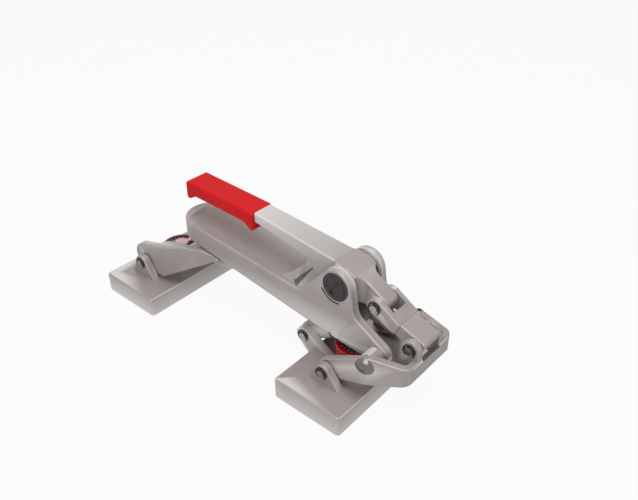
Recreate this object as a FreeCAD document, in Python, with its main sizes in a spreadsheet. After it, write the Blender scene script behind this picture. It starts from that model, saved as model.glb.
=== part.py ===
"""Locking seam stretcher for carpet laying, modelled as an assembly of separate pieces.

Frame: millimetres, +Z up, +X from the rear foot towards the nose, Y across.
The origin is the middle of the rear foot's sole, on the surface the tool stands on.
Every pivot lies along Y, and the tool is symmetric about the XZ plane.
"""
import FreeCAD, Part
import math
import os
import Sketcher

DOC = FreeCAD.newDocument("seam_stretcher")
SHEET = DOC.addObject("Spreadsheet::Sheet", "Sheet")

# alias, value in mm (or a count), what it measures
SIZES = [
    ("foot_length", 71, "foot, front to back"),
    ("foot_width", 142, "foot, across"),
    ("foot_height", 19.4, "foot block height"),
    ("foot_corner", 3, "foot, radius of the upright corners"),
    ("foot_edge", 1.4, "foot, rounding of the top edge"),
    ("foot_spacing", 235.8, "rear foot centre to front foot centre"),
    ("rear_pin_x", -4.9, "rear foot pin, from the rear foot centre"),
    ("rear_pin_z", 34.5, "rear foot pin height"),
    ("front_pin_x", -0.9, "front foot pin, from the front foot centre"),
    ("front_pin_z", 31.3, "front foot pin height"),
    ("ear_half", 49, "foot ears, outer half width"),
    ("ear_wall", 7.6, "foot ear thickness"),
    ("ear_radius", 8, "foot ear, round top"),
    ("ear_heel", 14.2, "foot ear base, behind the pin"),
    ("ear_toe", 18, "foot ear base, ahead of the pin"),
    ("arm_reach_x", 37.3, "foot pin to nose pivot, along"),
    ("arm_reach_z", 24.1, "foot pin to nose pivot, up"),
    ("tie_back_x", 44.3, "front foot pin back to the tie bar pin"),
    ("tie_drop_z", 1.3, "front foot pin down to the tie bar pin"),
    ("tie_ear_half", 21.5, "tie bar ears, outer half width"),
    ("tie_ear_wall", 6.4, "tie bar ear thickness"),
    ("tie_half", 14.6, "tie bar, half width"),
    ("tie_radius", 8.6, "tie bar, round end"),
    ("hub_x", 228.1, "handle hub, along"),
    ("hub_z", 102.8, "handle hub, up"),
    ("hub_radius", 15.8, "cheek boss around the hub"),
    ("lever_hub_radius", 14.3, "lever hub"),
    ("crank_x", 31.8, "hub to crank pin, along"),
    ("crank_drop", 11.4, "hub to crank pin, down"),
    ("crank_radius", 8.8, "crank nose"),
    ("crank_half", 8, "crank, half width"),
    ("link_x", 38.2, "crank pin to yoke pin, along"),
    ("link_drop", 19.5, "crank pin to yoke pin, down"),
    ("link_eye", 8.2, "toggle link, round rear end"),
    ("link_nose", 7.6, "toggle link, round front end"),
    ("link_arm", 5, "toggle link arm thickness"),
    ("link_block_half", 11.5, "toggle link block, half width"),
    ("link_slot", 13.5, "crank pin to the link block"),
    ("link_wide", 25, "crank pin to the end of the wide arms"),
    ("link_arm_rise", 6.4, "toggle link arm, half height at its front end"),
    ("link_block_rise", 4.3, "toggle link block, top above the pin line at the rear"),
    ("link_lip", 4.6, "toggle link block, front corner past the yoke pin"),
    ("link_lip_rise", 6.2, "toggle link block, front corner above the pin line"),
    ("cast_edge", 1.3, "small castings, rounding of the edges"),
    ("beam_half", 24, "beam, half width"),
    ("cheek_wall", 7.4, "beam side wall and cheek"),
    ("beam_tail_x", 29, "beam, rear end"),
    ("beam_tail_top", 93.5, "beam, top at the rear end"),
    ("beam_tail_depth", 18.5, "beam, depth at the rear end"),
    ("beam_tail_round", 23.5, "beam, plan radius of the rear end"),
    ("cheek_base_x", 184, "where the cheeks start to rise"),
    ("cheek_base_z", 81, "beam top where the cheeks rise"),
    ("roof_wall", 8, "beam roof thickness"),
    ("cheek_hollow", 10, "radius where the cheeks leave the beam top"),
    ("brow_x", 30.3, "hub to the hollow ahead of the cheeks, along"),
    ("brow_drop", 14.4, "hub to the hollow ahead of the cheeks, down"),
    ("brow_radius", 12, "hollow ahead of the cheeks"),
    ("beam_edge", 2, "beam, rounding of the outer edges"),
    ("nose_radius", 10, "cheek nose around the nose pivot"),
    ("dish_depth", 3.4, "beam top hollow, depth"),
    ("dish_half", 18, "beam top hollow, half width"),
    ("dish_end", 9, "beam top hollow, rounding at its ends"),
    ("dish_margin", 10, "beam top hollow, distance from the beam's rear end and the cheeks"),
    ("bracket_screw", 2.5, "bracket screw shank"),
    ("bracket_screw_bite", 3.2, "bracket screw, length in the beam roof"),
    ("yoke_half", 40.6, "yoke, outer half width"),
    ("yoke_wall", 6.5, "yoke arm thickness"),
    ("yoke_eye", 9, "yoke, round rear end"),
    ("yoke_bend", 4, "nose pivot back to where the yoke arms turn inwards"),
    ("yoke_bend_round", 25, "yoke, plan radius of that turn"),
    ("yoke_front_half", 33.5, "yoke, half width at its front corners"),
    ("boss_radius", 8.5, "bosses between the yoke arms and the beam"),
    ("yoke_front", 36, "nose pivot to the yoke's front face"),
    ("yoke_top", 64.4, "yoke front bar, top"),
    ("yoke_bottom", 46.3, "yoke front bar, underside"),
    ("yoke_corner", 10, "yoke, plan radius of the front corners"),
    ("link_play", 6.5, "room around the link's nose in the yoke"),
    ("yoke_ear_wall", 6, "yoke ear thickness"),
    ("yoke_ear_radius", 8.6, "yoke ear, round top"),
    ("bracket_half", 41, "rear bracket, outer half width"),
    ("bracket_wall", 8, "rear bracket fork wall"),
    ("heel_radius", 13.5, "rear bracket, round rear end"),
    ("heel_back", 3.6, "rear foot pin back to the middle of the round end"),
    ("heel_rise", 3, "rear foot pin up to the middle of the round end"),
    ("chin_x", 22, "rear foot pin to the bracket's lowest corner, along"),
    ("chin_drop", 7.8, "rear foot pin to the bracket's lowest corner, down"),
    ("shoulder_x", 47, "rear foot pin to the bracket's shoulder, along"),
    ("shoulder_rise", 25.5, "rear foot pin to the bracket's shoulder, up"),
    ("shoulder_radius", 6, "bracket shoulder"),
    ("bracket_neck", 20, "bracket, plan radius where it meets the beam"),
    ("bracket_taper_x", 80, "where the bracket is as narrow as the beam"),
    ("tongue_lap", 20, "bracket tongue, start behind the narrow part"),
    ("tongue_end_x", 128, "front end of the bracket tongue"),
    ("tongue_rise", 0.18, "slope of the tongue's underside"),
    ("bracket_screw_head", 4, "bracket screw head height"),
    ("bracket_screw_sink", 4.6, "bracket screw head, seat above the tongue's underside"),
    ("dial_well", 25, "round well in the bracket for the dial"),
    ("pin_radius", 3.5, "pivot pins"),
    ("groove_radius", 2.9, "pivot pin clip groove"),
    ("clip_radius", 5.9, "spring clip, outside"),
    ("clip_width", 1, "spring clip thickness"),
    ("pin_cap", 0.9, "pin end outside its clip"),
    ("pin_head", 1.4, "pin head thickness"),
    ("pin_head_radius", 5.4, "pin head"),
    ("dome_radius", 8.3, "nose pivot dome head"),
    ("dome_height", 3.6, "nose pivot dome head height"),
    ("rivet_radius", 4.5, "nose pivot shank"),
    ("screw_radius", 12.8, "hub screw head"),
    ("tie_boss", 5.6, "cheek around the tie bar's upper pin"),
    ("screw_seat", 2.6, "hub screw head sunk in the cheek"),
    ("screw_shank", 7, "hub screw shank"),
    ("screw_slot", 3, "hub screw slot width"),
    ("bush_wall", 1.4, "hub bush wall"),
    ("washer_wall", 1.2, "hub washer thickness"),
    ("grip_rear_x", 36, "grip, rear end"),
    ("grip_length", 88.5, "grip length"),
    ("grip_half", 13, "grip, half width"),
    ("grip_top_rear", 128, "grip top at its rear end"),
    ("grip_top_front", 125.5, "grip top at its front end"),
    ("grip_thick", 13.1, "grip, middle thickness"),
    ("grip_flare_rear", 5, "grip, rear end lip below the middle"),
    ("grip_flare_front", 5.2, "grip, front end lip below the middle"),
    ("grip_edge", 2, "grip, rounding of the edges"),
    ("shank_half", 10.3, "lever shank, half width at the grip"),
    ("shank_wide", 12.4, "lever shank, half width at the hub"),
    ("shank_rise", 0.7, "lever shank top above the grip's front end"),
    ("shank_thick", 9.3, "lever shank, thickness at the grip"),
    ("shank_back", 8, "hub back to where the shank is as wide as the hub"),
    ("shank_round", 4, "lever, hollow where the shank widens"),
    ("throat_back", 45, "hub back to the step under the lever"),
    ("throat_drop", 1.8, "hub down to the step under the lever"),
    ("throat_radius", 6, "hollow of the step under the lever"),
    ("step_back", 30, "hub back to the low corner of the step"),
    ("step_drop", 5, "hub down to the low corner of the step"),
    ("lever_edge", 1.6, "lever, rounding of the edges"),
    ("core_half", 7, "lever core inside the grip, half width"),
    ("core_thick", 7.5, "lever core inside the grip, thickness"),
    ("sole_wall", 2.8, "sole plate thickness"),
    ("sole_margin", 4.3, "foot rim around the sole plate"),
    ("ledge", 4, "ledge that carries the sole plate"),
    ("ledge_end", 11, "ledge at the ends, for the screws"),
    ("cavity_top", 12.6, "needle plate space, ceiling height"),
    ("plate_wall", 3, "needle plate thickness"),
    ("plate_margin", 1.2, "needle plate to the foot's wall"),
    ("needle_pitch_x", 12, "needle pitch, along"),
    ("needle_pitch_y", 14, "needle pitch, across"),
    ("needle_columns", 4, "needles, along"),
    ("needle_rows", 7, "needles, across"),
    ("needle_radius", 0.9, "needle at its root"),
    ("needle_tip", 0.25, "needle at its tip"),
    ("needle_rest", 0.6, "needle tip height with the dial at zero"),
    ("needle_hole", 1.4, "sole plate needle hole"),
    ("stud_radius", 4, "dial stud"),
    ("post_radius", 2, "needle plate guide post"),
    ("post_offset", 22, "guide post from the dial axis, across"),
    ("sole_screw", 1.6, "sole screw shank"),
    ("sole_screw_head", 3, "sole screw head"),
    ("sole_screw_end", 9.8, "sole screws, from the foot's end"),
    ("sole_screw_side", 15.5, "sole screws, from the foot's long side"),
    ("dial_radius", 20.5, "dial rim"),
    ("dial_pad", 3.4, "dial seat above the foot"),
    ("dial_height", 12, "dial rim height"),
    ("dial_lip", 4, "dial rim lip width"),
    ("dial_recess", 1.2, "dial face below the rim"),
    ("knob_radius", 7, "dial knob"),
    ("knob_height", 4.4, "dial knob above the face"),
    ("run_gap", 0.06, "radial gap of a turning pin"),
    ("seat_gap", 0.02, "gap of a fixed joint"),
    ("side_gap", 0.4, "gap between moving flanks"),
]


class Size:
    """A length with its value now and its spreadsheet expression."""

    def __init__(self, value, text):
        self.value = float(value)
        self.text = text

    def join(self, other, sign, result):
        return Size(result, "(%s %s %s)" % (self.text, sign, size(other).text))

    def __add__(self, other):
        return self.join(other, "+", self.value + size(other).value)

    def __sub__(self, other):
        return self.join(other, "-", self.value - size(other).value)

    def __mul__(self, other):
        return self.join(other, "*", self.value * size(other).value)

    def __truediv__(self, other):
        return self.join(other, "/", self.value / size(other).value)

    def __neg__(self):
        return size(0) - self

    def __radd__(self, other):
        return size(other) + self

    def __rsub__(self, other):
        return size(other) - self

    def __rmul__(self, other):
        return size(other) * self


def size(value):
    return value if isinstance(value, Size) else Size(value, repr(float(value)))


class Named:
    """Sheet values by alias."""


S = Named()
for row, (alias, value, note) in enumerate(SIZES, start=1):
    SHEET.set("A%d" % row, note)
    SHEET.set("B%d" % row, str(value))
    SHEET.setAlias("B%d" % row, alias)
    setattr(S, alias, Size(value, "Sheet." + alias))
DOC.recompute()

# ---------------------------------------------------------------- pivot places
front_x = S.foot_spacing
rear_pin = (S.rear_pin_x, S.rear_pin_z)
front_pin = (front_x + S.front_pin_x, S.front_pin_z)
nose = (front_pin[0] + S.arm_reach_x, front_pin[1] + S.arm_reach_z)
tie_low = (front_pin[0] - S.tie_back_x, front_pin[1] - S.tie_drop_z)
tie_high = (tie_low[0] + S.arm_reach_x, tie_low[1] + S.arm_reach_z)
hub = (S.hub_x, S.hub_z)
crank_pin = (hub[0] + S.crank_x, hub[1] - S.crank_drop)
yoke_pin = (crank_pin[0] + S.link_x, crank_pin[1] - S.link_drop)
gap_half = S.beam_half - S.cheek_wall
link_half = S.crank_half + S.side_gap + S.link_arm
ear_inner = S.ear_half - S.ear_wall
tie_ear_inner = S.tie_ear_half - S.tie_ear_wall
yoke_inner = S.yoke_half - S.yoke_wall
yoke_ear_inner = S.link_block_half + S.side_gap
yoke_ear_outer = yoke_ear_inner + S.yoke_ear_wall
foot_half = S.foot_length / 2
sole_screw_x = foot_half - S.sole_screw_side
sole_screw_y = S.foot_width / 2 - S.sole_screw_end
tongue_rear = S.bracket_taper_x - S.tongue_lap


# ---------------------------------------------------------------- sketch helpers
def bind(thing, prop, length):
    thing.setExpression(prop, size(length).text)


def tangent_points(first, second):
    """Ends of the line that leaves one directed circle and joins the next."""
    (ax, ay, ar), (bx, by, br) = first, second
    reach = math.hypot(bx - ax, by - ay)
    turn = math.atan2(by - ay, bx - ax) + math.acos((br - ar) / reach)
    nx, ny = math.cos(turn), math.sin(turn)
    return (ax - ar * nx, ay - ar * ny), (bx - br * nx, by - br * ny)


def add_centre(sketch, geo, centre, radius):
    """Ties a circle's or arc's centre and radius to the sheet."""
    for kind, length in (("DistanceX", centre[0]), ("DistanceY", centre[1])):
        index = sketch.addConstraint(Sketcher.Constraint(kind, -1, 1, geo, 3, length.value))
        bind(sketch, "Constraints[%d]" % index, length)
    index = sketch.addConstraint(Sketcher.Constraint("Radius", geo, radius.value))
    bind(sketch, "Constraints[%d]" % index, radius)


def add_circle(sketch, across, up, radius):
    across, up, radius = size(across), size(up), size(radius)
    circle = Part.Circle(FreeCAD.Vector(across.value, up.value, 0), FreeCAD.Vector(0, 0, 1), radius.value)
    add_centre(sketch, sketch.addGeometry(circle, False), (across, up), radius)


def add_outline(sketch, corners):
    """Closed outline of arcs joined by tangent lines, listed anticlockwise.

    A corner is (across, up, radius); a negative radius is a hollow corner.
    """
    corners = [tuple(size(part) for part in corner) for corner in corners]
    plain = [tuple(part.value for part in corner) for corner in corners]
    count = len(corners)
    lines = [tangent_points(plain[i], plain[(i + 1) % count]) for i in range(count)]
    arcs = []
    for i, (x, y, radius) in enumerate(plain):
        enter, leave = lines[i - 1][1], lines[i][0]
        if radius < 0:
            enter, leave = leave, enter
        angles = [math.atan2(p[1] - y, p[0] - x) for p in (enter, leave)]
        circle = Part.Circle(FreeCAD.Vector(x, y, 0), FreeCAD.Vector(0, 0, 1), abs(radius))
        arcs.append(sketch.addGeometry(Part.ArcOfCircle(circle, *angles), False))
    for i, (start, end) in enumerate(lines):
        ends = [FreeCAD.Vector(p[0], p[1], 0) for p in (start, end)]
        line = sketch.addGeometry(Part.LineSegment(*ends), False)
        after = (i + 1) % count
        leave = 2 if plain[i][2] > 0 else 1
        enter = 1 if plain[after][2] > 0 else 2
        sketch.addConstraint(Sketcher.Constraint("Tangent", arcs[i], leave, line, 1))
        sketch.addConstraint(Sketcher.Constraint("Tangent", line, 2, arcs[after], enter))
    for arc, corner, flat in zip(arcs, corners, plain):
        radius = corner[2] if flat[2] > 0 else -corner[2]
        add_centre(sketch, arc, corner[:2], radius)


def block(low_x, high_x, low_y, high_y, radius):
    """Corners of a rounded rectangle."""
    left, right = low_x + radius, high_x - radius
    bottom, top = low_y + radius, high_y - radius
    return [(left, bottom, radius), (right, bottom, radius), (right, top, radius), (left, top, radius)]


def new_body(label):
    body = DOC.addObject("PartDesign::Body", label)
    body.Label = label
    return body


def new_sketch(body, plane, level=None):
    """Sketch on an origin plane: XY_Plane faces up, XZ_Plane faces -Y."""
    sketch = body.newObject("Sketcher::SketchObject", body.Label + "_sketch")
    base = [item for item in body.Origin.OriginFeatures if item.Role == plane][0]
    sketch.AttachmentSupport = [(base, "")]
    sketch.MapMode = "FlatFace"
    if level is not None:
        bind(sketch, "AttachmentOffset.Base.z", level)
    return sketch


def finish_feature(body, feature, sketch, length, both, back):
    feature.Profile = sketch
    if length is None:
        feature.Type = 1
    else:
        bind(feature, "Length", length)
    if both:
        feature.SideType = "Symmetric"
    feature.Reversed = back
    body.Tip = feature
    DOC.recompute()
    return feature


def pad(body, sketch, length, both=False, back=False):
    feature = body.newObject("PartDesign::Pad", body.Label + "_pad")
    return finish_feature(body, feature, sketch, length, both, back)


def pocket(body, sketch, length=None, both=False, back=False):
    """Cuts the profile out; a cut that takes nothing away is an error."""
    before = body.Shape.Volume
    feature = body.newObject("PartDesign::Pocket", body.Label + "_pocket")
    finish_feature(body, feature, sketch, length, both, back)
    if not body.Shape.Volume < before - 1e-3:
        raise RuntimeError("a pocket of %s cuts nothing" % body.Label)
    return feature


def side_pad(body, corners, half):
    sketch = new_sketch(body, "XZ_Plane")
    add_outline(sketch, corners)
    return pad(body, sketch, half * 2, both=True)


def side_pocket(body, corners, half):
    sketch = new_sketch(body, "XZ_Plane")
    add_outline(sketch, corners)
    return pocket(body, sketch, half * 2, both=True)


def cross_bore(body, place, radius):
    """Round hole along Y right through the body."""
    sketch = new_sketch(body, "XZ_Plane")
    add_circle(sketch, place[0], place[1], radius)
    return pocket(body, sketch, both=True)


def trim_sides(body, corners):
    """Takes a plan outline off the +Y side, and its mirror image off the other."""
    facing = [(x, -size(y), r) for x, y, r in reversed(corners)]
    for outline in (corners, facing):
        sketch = new_sketch(body, "XY_Plane")
        add_outline(sketch, outline)
        pocket(body, sketch, both=True)


def round_edges(body, radius, wanted):
    """Rounds the edges of the last feature that the test picks."""
    names = ["Edge%d" % (i + 1) for i, edge in enumerate(body.Shape.Edges) if wanted(edge)]
    base = body.Tip
    feature = body.newObject("PartDesign::Fillet", body.Label + "_round")
    feature.Base = (base, names)
    bind(feature, "Radius", radius)
    body.Tip = feature
    DOC.recompute()
    if not feature.isValid() or not feature.Shape.isValid():
        raise RuntimeError("the rounding of %s fails" % body.Label)
    return feature


def normal_at(face, point):
    u, v = face.Surface.parameter(point)
    return face.normalAt(u, v)


def is_corner(shape, edge):
    """True for an edge where two faces meet in an outer corner."""
    faces = shape.ancestorsOfType(edge, Part.Face)
    if len(faces) != 2:
        return False
    point = edge.valueAt((edge.FirstParameter + edge.LastParameter) / 2)
    first, second = [normal_at(face, point) for face in faces]
    if first.dot(second) > 0.87:
        return False
    return not shape.isInside(point + (first * 0.2 - second) * 0.05, 1e-6, False)


def soften(body, radius, wanted=lambda edge: True):
    """Rounds the outer corners of the body so far that the test picks."""
    shape = body.Shape
    return round_edges(body, radius, lambda edge: wanted(edge) and is_corner(shape, edge))


# ---------------------------------------------------------------- solid helpers
def place(thing, x=0, y=0, z=0):
    for letter, length in (("x", x), ("y", y), ("z", z)):
        bind(thing, "Placement.Base." + letter, length)
    return thing


def upright_rod(name, radius, low, high, x=0, y=0):
    """Cylinder along Z."""
    rod = DOC.addObject("Part::Cylinder", name)
    bind(rod, "Radius", radius)
    bind(rod, "Height", high - low)
    return place(rod, x, y, low)


def cross_rod(name, radius, start, end, centre):
    """Cylinder along Y from start to end."""
    rod = DOC.addObject("Part::Cylinder", name)
    rod.Placement.Rotation = FreeCAD.Rotation(FreeCAD.Vector(1, 0, 0), -90)
    bind(rod, "Radius", radius)
    bind(rod, "Height", size(end) - start)
    return place(rod, centre[0], start, centre[1])


def cuboid(name, low, high):
    box = DOC.addObject("Part::Box", name)
    for prop, start, end in zip(("Length", "Width", "Height"), low, high):
        bind(box, prop, size(end) - start)
    return place(box, *low)


def cut(name, base, tool):
    result = DOC.addObject("Part::Cut", name)
    result.Base, result.Tool = base, tool
    return result


def fuse(name, things):
    result = DOC.addObject("Part::MultiFuse", name)
    result.Shapes = things
    return result


def group(name, things):
    result = DOC.addObject("Part::Compound", name)
    result.Links = things
    return result


def mirror(thing):
    result = DOC.addObject("Part::Mirroring", thing.Name + "_far")
    result.Source = thing
    result.Normal = (0, 1, 0)
    return result


NODES = []


def node(thing, label):
    thing.Label = label
    NODES.append(thing)
    return thing


def pair(name, thing):
    """One node that holds a piece and its mirror image."""
    return node(group(name, [thing, mirror(thing)]), name)


def tube(name, outer, inner, start, end, centre):
    return cut(name, cross_rod(name + "_outer", outer, start, end, centre),
               cross_rod(name + "_inner", inner, start - 1, end + 1, centre))


def grooved_pin(name, centre, inner, seat, headed):
    """Half of a pin: shank from inner to the clip groove at seat, and a cap."""
    shank = cross_rod(name + "_shank", S.pin_radius, inner, seat, centre)
    groove_end = seat + S.clip_width + S.seat_gap * 2
    neck = cross_rod(name + "_neck", S.groove_radius, seat, groove_end, centre)
    cap = cross_rod(name + "_cap", S.pin_radius, groove_end, groove_end + S.pin_cap, centre)
    parts = [shank, neck, cap]
    if headed:
        parts.append(cross_rod(name + "_head", S.pin_head_radius, inner - S.pin_head, inner, centre))
    return fuse(name, parts)


def spring_clip(name, centre, seat):
    """Open ring with three inner teeth that sit in a pin groove."""
    start = seat + S.seat_gap
    end = start + S.clip_width
    ring = tube(name + "_ring", S.clip_radius, S.pin_radius + 1.1, start, end, centre)
    tooth = size(1.5)
    low = (centre[0] - S.clip_radius + 0.6, start, centre[1] - tooth)
    high = (centre[0] + S.clip_radius - 0.6, end, centre[1] + tooth)
    across = cuboid(name + "_teeth", low, high)
    low = (centre[0] - tooth, start, centre[1])
    high = (centre[0] + tooth, end, centre[1] + S.clip_radius - 0.6)
    back = cuboid(name + "_back", low, high)
    whole = fuse(name + "_whole", [ring, across, back])
    bore = cross_rod(name + "_bore", S.groove_radius + S.seat_gap, start - 1, end + 1, centre)
    mouth = cuboid(name + "_mouth", (centre[0] - 3, start - 1, centre[1] - S.clip_radius - 1),
                   (centre[0] + 3, end + 1, centre[1] - 1.6))
    return cut(name, whole, fuse(name + "_gap", [bore, mouth]))


# ---------------------------------------------------------------- the feet
def needle_places():
    """Needle rows and columns as offsets from the dial axis."""
    columns = int(S.needle_columns.value)
    rows = int(S.needle_rows.value)
    for i in range(columns):
        for j in range(rows):
            yield S.needle_pitch_x * (i - (columns - 1) / 2), S.needle_pitch_y * (j - (rows - 1) / 2)


def make_foot_block(name, centre, pin, has_tie_ears):
    """Cast foot: block, pivot ears, dial seat and the hollow for the needle plate."""
    body = new_body(name)
    low, high, half_width = centre - foot_half, centre + foot_half, S.foot_width / 2
    sketch = new_sketch(body, "XY_Plane")
    add_outline(sketch, block(low, high, -half_width, half_width, S.foot_corner))
    pad(body, sketch, S.foot_height)
    top = S.foot_height.value
    round_edges(body, S.foot_edge, lambda edge: edge.BoundBox.ZMin > top - 0.001)

    foot_of_ear = S.foot_height - 2
    ear = [(pin[0] - S.ear_heel, foot_of_ear, 1.5), (pin[0] + S.ear_toe, foot_of_ear, 1.5),
           (pin[0], pin[1], S.ear_radius)]
    side_pad(body, ear, S.ear_half)
    reach = S.ear_radius + 30
    room = block(pin[0] - reach, pin[0] + reach, S.foot_height, pin[1] + reach, 1)
    side_pocket(body, room, ear_inner)
    cross_bore(body, pin, S.pin_radius + S.seat_gap)
    above = S.foot_height.value + 0.2
    soften(body, S.cast_edge, lambda edge: edge.BoundBox.ZMax > above)

    if has_tie_ears:
        ear = [(low + 1, S.foot_height - 9, 2), (low + 24, foot_of_ear, 1.5),
               (tie_low[0], tie_low[1], S.ear_radius)]
        side_pad(body, ear, S.tie_ear_half)
        behind, ahead = tie_low[0] - reach, low + 30
        hollow = 0.3
        room = [(behind, 2, 1), (low - 1, 2, 1), (low + hollow, S.foot_height - hollow, -hollow),
                (ahead, S.foot_height + 1, 1), (ahead, tie_low[1] + reach, 1),
                (behind, tie_low[1] + reach, 1)]
        side_pocket(body, room, tie_ear_inner)
        cross_bore(body, tie_low, S.pin_radius + S.seat_gap)

    sketch = new_sketch(body, "XY_Plane", S.foot_height - 1)
    add_circle(sketch, centre, 0, S.knob_radius + 2)
    pad(body, sketch, S.dial_pad + 1)
    edge_x, edge_y = foot_half - S.sole_margin, half_width - S.sole_margin
    sketch = new_sketch(body, "XY_Plane")
    add_outline(sketch, block(centre - edge_x, centre + edge_x, -edge_y, edge_y, 3))
    pocket(body, sketch, S.sole_wall, back=True)
    inner_x, inner_y = edge_x - S.ledge, edge_y - S.ledge_end
    sketch = new_sketch(body, "XY_Plane")
    add_outline(sketch, block(centre - inner_x, centre + inner_x, -inner_y, inner_y, 3))
    pocket(body, sketch, S.cavity_top, back=True)
    sketch = new_sketch(body, "XY_Plane")
    add_circle(sketch, centre, 0, S.stud_radius + S.run_gap)
    pocket(body, sketch, both=True)
    sketch = new_sketch(body, "XY_Plane")
    for side in (-1, 1):
        add_circle(sketch, centre, S.post_offset * side, S.post_radius + S.seat_gap)
    pocket(body, sketch, S.cavity_top + 4, back=True)
    sketch = new_sketch(body, "XY_Plane")
    for along in (-1, 1):
        for side in (-1, 1):
            add_circle(sketch, centre + sole_screw_x * along, sole_screw_y * side,
                       S.sole_screw + S.seat_gap)
    pocket(body, sketch, S.cavity_top, back=True)
    return node(body, name)


def make_sole_plate(name, centre):
    """Steel plate that closes the foot and guides the needles."""
    body = new_body(name)
    half_x = foot_half - S.sole_margin - S.side_gap / 2
    half_y = S.foot_width / 2 - S.sole_margin - S.side_gap / 2
    sketch = new_sketch(body, "XY_Plane")
    add_outline(sketch, block(centre - half_x, centre + half_x, -half_y, half_y, 3))
    pad(body, sketch, S.sole_wall)
    sketch = new_sketch(body, "XY_Plane")
    for along, side in needle_places():
        add_circle(sketch, centre + along, side, S.needle_hole)
    pocket(body, sketch, both=True)
    sketch = new_sketch(body, "XY_Plane")
    for along in (-1, 1):
        for side in (-1, 1):
            add_circle(sketch, centre + sole_screw_x * along, sole_screw_y * side,
                       S.sole_screw_head + S.seat_gap)
    pocket(body, sketch, both=True)
    return node(body, name)


def make_sole_screws(name, centre):
    top = S.sole_wall
    screws = []
    for along in (-1, 1):
        for side in (-1, 1):
            x, y = centre + sole_screw_x * along, sole_screw_y * side
            tag = "%s_%d" % (name, len(screws))
            head = upright_rod(tag + "_head", S.sole_screw_head, size(0), top, x, y)
            shank = upright_rod(tag + "_shank", S.sole_screw, top, S.cavity_top - 0.5, x, y)
            screws.append(fuse(tag, [head, shank]))
    return node(group(name, screws), name)


def make_needle_plate(name, centre):
    """Plate that carries the needles and rides on the dial stud and guide posts."""
    body = new_body(name)
    top = S.cavity_top - S.side_gap
    half_x = foot_half - S.sole_margin - S.ledge - S.plate_margin
    half_y = S.foot_width / 2 - S.sole_margin - S.ledge_end - S.plate_margin
    sketch = new_sketch(body, "XY_Plane", top - S.plate_wall)
    add_outline(sketch, block(centre - half_x, centre + half_x, -half_y, half_y, 2))
    pad(body, sketch, S.plate_wall)
    sketch = new_sketch(body, "XY_Plane")
    add_circle(sketch, centre, 0, S.stud_radius + S.run_gap)
    for side in (-1, 1):
        add_circle(sketch, centre, S.post_offset * side, S.post_radius + S.run_gap)
    pocket(body, sketch, both=True)
    return node(body, name)


def clear_of_stud(along, side):
    """True where a needle leaves room for the dial stud and the guide posts."""
    for post in (0, S.post_offset.value, -S.post_offset.value):
        reach = math.hypot(along.value, side.value - post)
        if reach < S.stud_radius.value + S.needle_radius.value + 1:
            return False
    return True


def make_needles(name, centre):
    root = S.cavity_top - S.side_gap - S.plate_wall
    needles = []
    for along, side in needle_places():
        if not clear_of_stud(along, side):
            continue
        needle = DOC.addObject("Part::Cone", "%s_%d" % (name, len(needles)))
        bind(needle, "Radius1", S.needle_tip)
        bind(needle, "Radius2", S.needle_radius)
        bind(needle, "Height", root - S.needle_rest)
        needles.append(place(needle, centre + along, side, S.needle_rest))
    return node(group(name, needles), name)


def make_guide_posts(name, centre):
    low = S.sole_wall + 0.2
    posts = [upright_rod("%s_%d" % (name, side + 1), S.post_radius, low, S.cavity_top + 3.8,
                         centre, S.post_offset * side) for side in (-1, 1)]
    return node(group(name, posts), name)


def make_dial(name, centre):
    """Fixed rim and scale, and the knob with its stud that turns in them."""
    seat = S.foot_height + S.dial_pad
    top = seat + S.dial_height
    face = top - S.dial_recess
    scale_wall = size(1.6)
    bore = S.stud_radius + S.run_gap
    rim = new_body(name + "_rim")
    sketch = new_sketch(rim, "XY_Plane", seat)
    add_circle(sketch, centre, 0, S.dial_radius)
    pad(rim, sketch, S.dial_height)
    high = top.value
    round_edges(rim, 1.6, lambda edge: edge.BoundBox.ZMin > high - 0.001)
    sketch = new_sketch(rim, "XY_Plane", top + 1)
    add_circle(sketch, centre, 0, S.dial_radius - S.dial_lip)
    pocket(rim, sketch, S.dial_recess + scale_wall + 1)
    sketch = new_sketch(rim, "XY_Plane")
    add_circle(sketch, centre, 0, bore)
    pocket(rim, sketch, both=True)
    node(rim, name + "_rim")

    disc = upright_rod(name + "_scale_disc", S.dial_radius - S.dial_lip - S.seat_gap,
                       face - scale_wall, face, centre)
    hole = upright_rod(name + "_scale_hole", bore, face - scale_wall - 1, face + 1, centre)
    node(cut(name + "_scale", disc, hole), name + "_scale")

    base = face + S.side_gap
    knob_top = face + S.knob_height
    disc = upright_rod(name + "_knob_disc", S.knob_radius, base, knob_top, centre)
    point = cuboid(name + "_knob_point", (centre - 2, S.knob_radius - 2, base),
                   (centre + 2, S.dial_radius - S.dial_lip - 1.5, base + 2))
    turn = fuse(name + "_knob_turn", [disc, point])
    stud_top = knob_top - 1.5
    socket = upright_rod(name + "_knob_socket", S.stud_radius + S.seat_gap, base - 1, stud_top, centre)
    node(cut(name + "_knob", turn, socket), name + "_knob")
    stud = upright_rod(name + "_stud", S.stud_radius, S.sole_wall + 1, stud_top, centre)
    node(stud, name + "_stud")


def make_foot(side, centre, pin, has_tie_ears):
    make_foot_block(side + "_foot", centre, pin, has_tie_ears)
    make_sole_plate(side + "_sole_plate", centre)
    make_sole_screws(side + "_sole_screws", centre)
    make_needle_plate(side + "_needle_plate", centre)
    make_needles(side + "_needles", centre)
    make_guide_posts(side + "_guide_posts", centre)
    make_dial(side + "_dial", centre)


# ---------------------------------------------------------------- beam and bracket
def roof_under(x):
    """Height of the beam roof's underside at x."""
    tail_z = S.beam_tail_top - S.roof_wall
    fall = (S.beam_tail_top - S.cheek_base_z) / (S.cheek_base_x - S.beam_tail_x)
    return tail_z - (size(x) - S.beam_tail_x) * fall


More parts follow.
